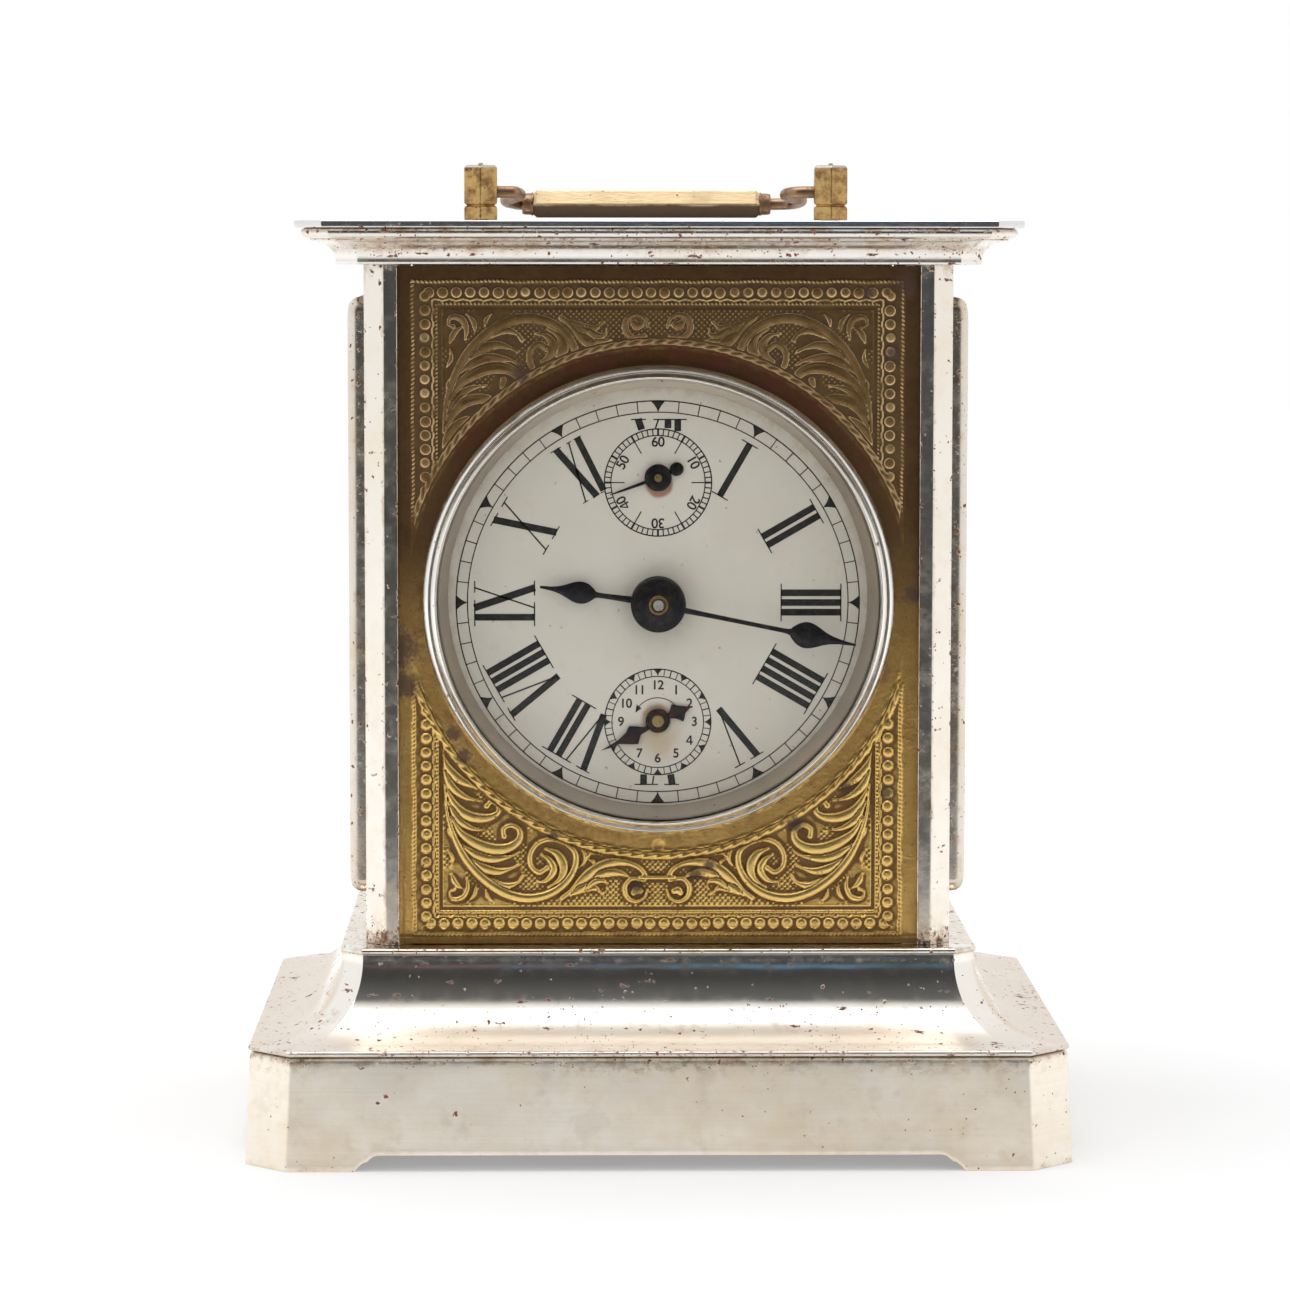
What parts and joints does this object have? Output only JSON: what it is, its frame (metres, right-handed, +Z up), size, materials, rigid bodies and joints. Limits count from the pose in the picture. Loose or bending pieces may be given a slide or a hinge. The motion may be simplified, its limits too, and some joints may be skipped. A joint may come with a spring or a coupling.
{
  "type": "carriage clock",
  "caption": "Portable alarm clock in a plated metal case with a folding brass handle, pressed brass front, round dial with seconds and alarm subdials, rear door and wheel trains.",
  "frame": {"origin": "bottom centre of the base, on the plane its four corner feet stand on", "axes": "+Z up, the dial faces -Y, +X to the viewer's right when facing the dial"},
  "size_m": [0.144, 0.112, 0.1736],
  "materials": {
    "nickel": "worn nickel plate, satin, with pinpoint rust",
    "nickel_bright": "polished nickel plate",
    "pressed_brass": "tarnished embossed brass sheet",
    "dial_silver": "matt silvered dial with black printing",
    "glass": "clear, thin",
    "handle_brass": "worn brass, dark in the recesses",
    "blued_steel": "blued and blackened steel",
    "steel": "plain steel, oiled",
    "movement_brass": "brushed brass, slightly dull"
  },
  "bodies": {
    "case": {"base_shell": "nickel", "base_bottom_plate": "steel", "bell": "steel", "column_front_left": "nickel", "column_front_right": "nickel", "column_rear_left": "nickel", "column_rear_right": "nickel", "cornice": "nickel", "top_plate": "nickel", "side_panel_left": "nickel", "side_panel_right": "nickel", "side_glass_left": "glass", "side_glass_right": "glass", "front_mask": "pressed_brass", "bezel": "nickel_bright", "dial_glass": "glass", "sight_ring": "nickel_bright", "dial": "dial_silver", "door_hinge_upper": "nickel", "door_hinge_lower": "nickel", "handle_post_left": "handle_brass", "handle_post_right": "handle_brass", "handle_strap": "steel", "movement_plate_front": "movement_brass", "movement_plate_rear": "movement_brass", "pillar_upper": "movement_brass", "pillar_lower_left": "movement_brass", "pillar_lower_right": "movement_brass", "time_mainspring": "steel", "alarm_mainspring": "steel", "hairspring": "steel"},
    "rear_door": {"rear_door": "nickel", "door_knob": "movement_brass"},
    "handle": {"handle_grip": "handle_brass", "handle_arm_left": "handle_brass", "handle_arm_right": "handle_brass"},
    "minute_arbor": {"centre_arbor": "steel", "centre_wheel": "movement_brass", "minute_hand": "blued_steel", "hand_set_knob": "movement_brass"},
    "minute_wheel": {"minute_wheel": "movement_brass"},
    "hour_wheel": {"hour_wheel": "movement_brass", "hour_hand": "blued_steel"},
    "third_wheel": {"third_wheel": "movement_brass"},
    "seconds_arbor": {"seconds_wheel": "movement_brass", "seconds_hand": "blued_steel"},
    "escape_wheel": {"escape_wheel": "movement_brass"},
    "pallet_lever": {"pallet_lever": "steel"},
    "balance": {"balance_wheel": "movement_brass"},
    "time_great_wheel": {"time_great_wheel": "movement_brass"},
    "time_winding": {"time_winding_arbor": "steel", "time_key": "movement_brass"},
    "alarm_great_wheel": {"alarm_great_wheel": "movement_brass"},
    "alarm_winding": {"alarm_winding_arbor": "steel", "alarm_key": "movement_brass"},
    "alarm_escape": {"alarm_escape_wheel": "movement_brass"},
    "hammer": {"hammer": "steel"},
    "alarm_setting": {"alarm_setting_arbor": "movement_brass", "alarm_hand": "blued_steel"},
    "alarm_trip_wheel": {"alarm_trip_wheel": "movement_brass"}
  },
  "joints": [
    {"name": "door_swing", "type": "hinge", "parent": "case", "child": "rear_door", "pos_m": [0.0464, 0.03665, 0.096], "axis": [0, 0, -1], "range_deg": [0, 110]},
    {"name": "handle_fold", "type": "hinge", "parent": "case", "child": "handle", "pos_m": [0, 0, 0.1683], "axis": [1, 0, 0], "range_deg": [0, 191]},
    {"name": "minute_turn", "type": "hinge", "parent": "case", "child": "minute_arbor", "pos_m": [0, 0, 0.096], "axis": [0, 1, 0], "continuous": true},
    {"name": "minute_wheel_turn", "type": "hinge", "parent": "case", "child": "minute_wheel", "pos_m": [-0.0126, 0, 0.09255], "axis": [0, 1, 0], "continuous": true},
    {"name": "hour_turn", "type": "hinge", "parent": "case", "child": "hour_wheel", "pos_m": [0, 0, 0.096], "axis": [0, 1, 0], "continuous": true},
    {"name": "third_turn", "type": "hinge", "parent": "case", "child": "third_wheel", "pos_m": [0.01121, 0, 0.10769], "axis": [0, 1, 0], "continuous": true},
    {"name": "seconds_turn", "type": "hinge", "parent": "case", "child": "seconds_arbor", "pos_m": [0, 0, 0.1181], "axis": [0, 1, 0], "continuous": true},
    {"name": "escape_turn", "type": "hinge", "parent": "case", "child": "escape_wheel", "pos_m": [-0.012, 0, 0.12429], "axis": [0, 1, 0], "continuous": true},
    {"name": "great_wheel_turn", "type": "hinge", "parent": "case", "child": "time_great_wheel", "pos_m": [-0.0222, 0, 0.09301], "axis": [0, 1, 0], "continuous": true},
    {"name": "trip_wheel_turn", "type": "hinge", "parent": "case", "child": "alarm_trip_wheel", "pos_m": [0, 0, 0.0751], "axis": [0, 1, 0], "continuous": true},
    {"name": "time_winding_turn", "type": "hinge", "parent": "case", "child": "time_winding", "pos_m": [-0.0222, 0, 0.09301], "axis": [0, 1, 0], "continuous": true},
    {"name": "alarm_winding_turn", "type": "hinge", "parent": "case", "child": "alarm_winding", "pos_m": [0.024, 0, 0.084], "axis": [0, 1, 0], "continuous": true},
    {"name": "alarm_great_wheel_turn", "type": "hinge", "parent": "case", "child": "alarm_great_wheel", "pos_m": [0.024, 0, 0.084], "axis": [0, 1, 0], "continuous": true},
    {"name": "alarm_escape_turn", "type": "hinge", "parent": "case", "child": "alarm_escape", "pos_m": [0.0278, 0, 0.06518], "axis": [0, 1, 0], "continuous": true},
    {"name": "hammer_swing", "type": "hinge", "parent": "case", "child": "hammer", "pos_m": [0.017, 0, 0.058], "axis": [0, 1, 0], "range_deg": [-2.5, 2.5]},
    {"name": "alarm_set_turn", "type": "hinge", "parent": "case", "child": "alarm_setting", "pos_m": [0, 0, 0.0751], "axis": [0, 1, 0], "continuous": true},
    {"name": "pallet_rock", "type": "hinge", "parent": "case", "child": "pallet_lever", "pos_m": [-0.0202, 0, 0.1266], "axis": [0, 1, 0], "range_deg": [-4, 4]},
    {"name": "balance_swing", "type": "hinge", "parent": "case", "child": "balance", "pos_m": [-0.03, 0, 0.133], "axis": [0, 1, 0], "range_deg": [-135, 135]}
  ],
  "couplings": [
    {"joint": "minute_wheel_turn", "follows": "minute_turn", "ratio": -0.33333},
    {"joint": "hour_turn", "follows": "minute_turn", "ratio": 0.083333},
    {"joint": "third_turn", "follows": "minute_turn", "ratio": -8},
    {"joint": "seconds_turn", "follows": "minute_turn", "ratio": 60},
    {"joint": "escape_turn", "follows": "minute_turn", "ratio": -480},
    {"joint": "great_wheel_turn", "follows": "minute_turn", "ratio": -0.16667},
    {"joint": "trip_wheel_turn", "follows": "minute_turn", "ratio": -0.083333},
    {"joint": "alarm_escape_turn", "follows": "alarm_great_wheel_turn", "ratio": -5}
  ]
}
